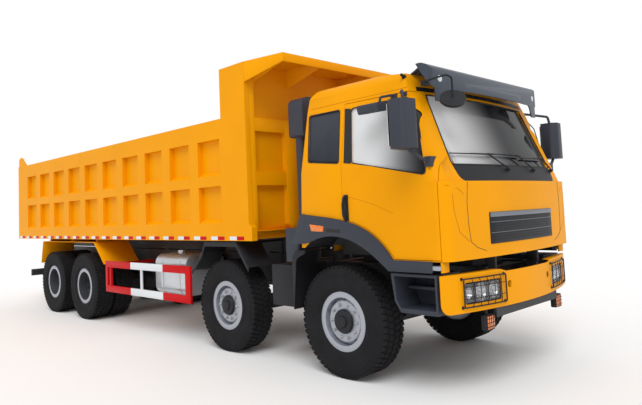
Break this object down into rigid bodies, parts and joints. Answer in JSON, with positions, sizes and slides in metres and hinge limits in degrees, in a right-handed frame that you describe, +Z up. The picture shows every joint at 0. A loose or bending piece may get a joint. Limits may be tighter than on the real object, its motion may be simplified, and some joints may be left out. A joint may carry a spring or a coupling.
{
  "type": "eight-wheel dump truck",
  "caption": "Four-axle dump truck with a tilting cab, a ribbed tipping load body with a cab canopy, twin steered front axles and a twin-tyred rear bogie.",
  "frame": {"origin": "on the ground under the middle of the overall box", "axes": "+X forward along the truck, +Y to its left, +Z up"},
  "size_m": [10.725, 3.1776, 3.496],
  "materials": {
    "body_yellow": "gloss paint",
    "frame_black": "satin paint",
    "plastic_grey": "moulded",
    "plastic_black": "moulded",
    "rubber": "tyre rubber",
    "wheel_silver": "silver paint",
    "tank_metal": "brushed",
    "guard_paint": "red and white paint",
    "tinted_glass": "tinted",
    "lens": "clear and amber lenses",
    "cast_steel": "cast and forged",
    "chrome_rod": "ground rod",
    "trim_fabric": "woven"
  },
  "bodies": {
    "chassis": {"frame_rails": "frame_black", "crossmembers": "frame_black", "engine": "cast_steel", "front_axles": "cast_steel", "rear_axles": "cast_steel", "leaf_springs": "frame_black", "front_bumper": "body_yellow", "lamps": "lens", "cab_steps": "plastic_grey", "front_mudguards": "plastic_black", "tanks": "tank_metal", "battery_box": "plastic_black", "side_guards": "guard_paint", "air_intake": "plastic_grey", "rear_lamp_bar": "frame_black"},
    "cab": {"cab_shell": "body_yellow", "cab_roof": "body_yellow", "cab_front_panel": "body_yellow", "cab_cowl": "plastic_black", "cab_glass": "tinted_glass", "sun_visor": "plastic_grey", "arch_flares": "plastic_grey", "cab_interior": "trim_fabric", "front_mirror": "plastic_black"},
    "load_body": {"body_sides": "body_yellow", "body_floor": "body_yellow", "headboard": "body_yellow", "body_mudguards": "body_yellow"},
    "tailgate_flap": {"tailgate": "body_yellow"},
    "left_door": {"door_left": "body_yellow", "door_glass_left": "tinted_glass", "door_mirrors_left": "plastic_black"},
    "right_door": {"door_right": "body_yellow", "door_glass_right": "tinted_glass", "door_mirrors_right": "plastic_black"},
    "hoist_barrel_body": {"hoist_barrel": "frame_black"},
    "hoist_stage_1_body": {"hoist_stage_1": "chrome_rod"},
    "hoist_stage_2_body": {"hoist_stage_2": "chrome_rod"},
    "hoist_stage_3_body": {"hoist_stage_3": "chrome_rod"},
    "hoist_rod_body": {"hoist_rod": "chrome_rod"},
    "knuckle_1_left_body": {"knuckle_1_left": "cast_steel"},
    "knuckle_1_right_body": {"knuckle_1_right": "cast_steel"},
    "knuckle_2_left_body": {"knuckle_2_left": "cast_steel"},
    "knuckle_2_right_body": {"knuckle_2_right": "cast_steel"},
    "wheel_1_left": {"tyre_1_left": "rubber", "rim_1_left": "wheel_silver"},
    "wheel_1_right": {"tyre_1_right": "rubber", "rim_1_right": "wheel_silver"},
    "wheel_2_left": {"tyre_2_left": "rubber", "rim_2_left": "wheel_silver"},
    "wheel_2_right": {"tyre_2_right": "rubber", "rim_2_right": "wheel_silver"},
    "wheel_3_left": {"tyre_3_left": "rubber", "rim_3_left": "wheel_silver"},
    "wheel_3_right": {"tyre_3_right": "rubber", "rim_3_right": "wheel_silver"},
    "wheel_4_left": {"tyre_4_left": "rubber", "rim_4_left": "wheel_silver"},
    "wheel_4_right": {"tyre_4_right": "rubber", "rim_4_right": "wheel_silver"}
  },
  "joints": [
    {"name": "cab_tilt", "type": "hinge", "parent": "chassis", "child": "cab", "pos_m": [5.2025, 0, 1.02], "axis": [0, 1, 0], "range_deg": [0, 45]},
    {"name": "left_door_hinge", "type": "hinge", "parent": "cab", "child": "left_door", "pos_m": [5.1685, 1.239, 1.7], "axis": [0, 0, -1], "range_deg": [0, 70]},
    {"name": "right_door_hinge", "type": "hinge", "parent": "cab", "child": "right_door", "pos_m": [5.1685, -1.239, 1.7], "axis": [0, 0, 1], "range_deg": [0, 70]},
    {"name": "body_tip", "type": "hinge", "parent": "chassis", "child": "load_body", "pos_m": [-4.6475, 0, 1.2], "axis": [0, -1, 0], "range_deg": [0, 45]},
    {"name": "tailgate_swing", "type": "hinge", "parent": "load_body", "child": "tailgate_flap", "pos_m": [-5.2475, 0, 3.02], "axis": [0, 1, 0], "range_deg": [0, 60]},
    {"name": "hoist_pivot", "type": "hinge", "parent": "chassis", "child": "hoist_barrel_body", "pos_m": [2.9025, 0, 0.88], "axis": [0, -1, 0], "range_deg": [0, 23.3]},
    {"name": "hoist_stage_1_slide", "type": "slide", "parent": "hoist_barrel_body", "child": "hoist_stage_1_body", "axis": [-0.064, 0, 0.9979], "range_m": [0, 1.4028]},
    {"name": "hoist_stage_2_slide", "type": "slide", "parent": "hoist_stage_1_body", "child": "hoist_stage_2_body", "axis": [-0.064, 0, 0.9979], "range_m": [0, 1.4028]},
    {"name": "hoist_stage_3_slide", "type": "slide", "parent": "hoist_stage_2_body", "child": "hoist_stage_3_body", "axis": [-0.064, 0, 0.9979], "range_m": [0, 1.4028]},
    {"name": "hoist_rod_slide", "type": "slide", "parent": "hoist_stage_3_body", "child": "hoist_rod_body", "axis": [-0.064, 0, 0.9979], "range_m": [0, 1.4028]},
    {"name": "steer_1_left", "type": "hinge", "parent": "chassis", "child": "knuckle_1_left_body", "pos_m": [3.9025, 0.9, 0.56], "axis": [0, 0, 1], "range_deg": [-35, 35]},
    {"name": "steer_1_right", "type": "hinge", "parent": "chassis", "child": "knuckle_1_right_body", "pos_m": [3.9025, -0.9, 0.56], "axis": [0, 0, 1], "range_deg": [-35, 35]},
    {"name": "steer_2_left", "type": "hinge", "parent": "chassis", "child": "knuckle_2_left_body", "pos_m": [1.9525, 0.9, 0.56], "axis": [0, 0, 1], "range_deg": [-26.4, 26.4]},
    {"name": "steer_2_right", "type": "hinge", "parent": "chassis", "child": "knuckle_2_right_body", "pos_m": [1.9525, -0.9, 0.56], "axis": [0, 0, 1], "range_deg": [-26.4, 26.4]},
    {"name": "spin_1_left", "type": "hinge", "parent": "knuckle_1_left_body", "child": "wheel_1_left", "pos_m": [3.9025, 1.02, 0.56], "axis": [0, 1, 0], "continuous": true},
    {"name": "spin_1_right", "type": "hinge", "parent": "knuckle_1_right_body", "child": "wheel_1_right", "pos_m": [3.9025, -1.02, 0.56], "axis": [0, 1, 0], "continuous": true},
    {"name": "spin_2_left", "type": "hinge", "parent": "knuckle_2_left_body", "child": "wheel_2_left", "pos_m": [1.9525, 1.02, 0.56], "axis": [0, 1, 0], "continuous": true},
    {"name": "spin_2_right", "type": "hinge", "parent": "knuckle_2_right_body", "child": "wheel_2_right", "pos_m": [1.9525, -1.02, 0.56], "axis": [0, 1, 0], "continuous": true},
    {"name": "spin_3_left", "type": "hinge", "parent": "chassis", "child": "wheel_3_left", "pos_m": [-2.0975, 0.915, 0.56], "axis": [0, 1, 0], "continuous": true},
    {"name": "spin_3_right", "type": "hinge", "parent": "chassis", "child": "wheel_3_right", "pos_m": [-2.0975, -0.915, 0.56], "axis": [0, 1, 0], "continuous": true},
    {"name": "spin_4_left", "type": "hinge", "parent": "chassis", "child": "wheel_4_left", "pos_m": [-3.4475, 0.915, 0.56], "axis": [0, 1, 0], "continuous": true},
    {"name": "spin_4_right", "type": "hinge", "parent": "chassis", "child": "wheel_4_right", "pos_m": [-3.4475, -0.915, 0.56], "axis": [0, 1, 0], "continuous": true}
  ],
  "couplings": [
    {"joint": "hoist_pivot", "follows": "body_tip", "ratio": 0.51746},
    {"joint": "hoist_stage_1_slide", "follows": "body_tip", "m_per_rad": 1.7854},
    {"joint": "hoist_stage_2_slide", "follows": "body_tip", "m_per_rad": 1.7854},
    {"joint": "hoist_stage_3_slide", "follows": "body_tip", "m_per_rad": 1.7854},
    {"joint": "hoist_rod_slide", "follows": "body_tip", "m_per_rad": 1.7854},
    {"joint": "steer_1_right", "follows": "steer_1_left", "ratio": 1},
    {"joint": "steer_2_left", "follows": "steer_1_left", "ratio": 0.754},
    {"joint": "steer_2_right", "follows": "steer_1_left", "ratio": 0.754}
  ]
}
